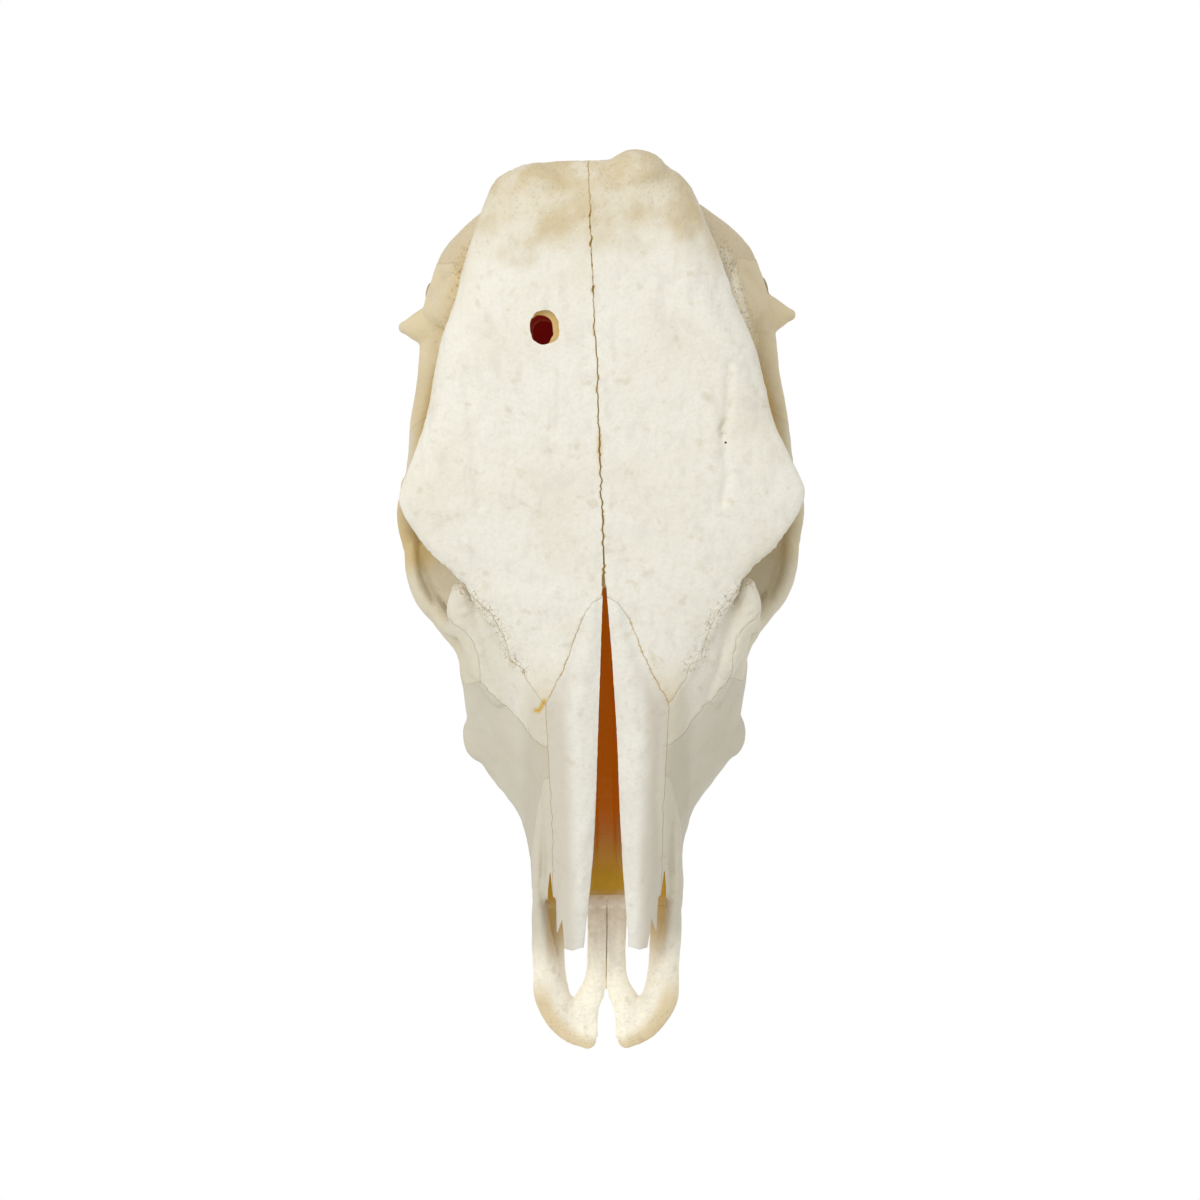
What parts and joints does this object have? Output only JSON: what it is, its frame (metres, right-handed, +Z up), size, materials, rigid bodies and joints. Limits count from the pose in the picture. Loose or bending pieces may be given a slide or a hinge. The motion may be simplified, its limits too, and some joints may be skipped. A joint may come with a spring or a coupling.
{
  "type": "cow skull",
  "caption": "Skull of a young polled cow without its lower jaw, bone by bone, with cheek teeth, open sutures and a round hole in the forehead.",
  "frame": {"origin": "centre of the bounding box, on the surface that the skull rests on", "axes": "+Z up, nose towards -Y and crown towards +Y, +X to the animal's left"},
  "size_m": [0.2054, 0.4502, 0.1941],
  "materials": {
    "bone_pale": "dry, bleached bone, nearly white",
    "bone_cheek": "dry, cream bone with enamelled cheek teeth",
    "bone_shaded": "dry, porous tan bone"
  },
  "bodies": {
    "root": {"frontal_l": "bone_pale", "frontal_r": "bone_pale", "nasal_l": "bone_pale", "nasal_r": "bone_pale", "lacrimal_l": "bone_pale", "lacrimal_r": "bone_pale", "zygomatic_l": "bone_cheek", "zygomatic_r": "bone_cheek", "maxilla_l": "bone_cheek", "maxilla_r": "bone_cheek", "premaxilla_l": "bone_cheek", "premaxilla_r": "bone_cheek", "palatine_l": "bone_shaded", "palatine_r": "bone_shaded", "vomer": "bone_shaded", "temporal_l": "bone_shaded", "temporal_r": "bone_shaded", "occipital": "bone_shaded", "sphenoid": "bone_shaded"}
  },
  "joints": []
}
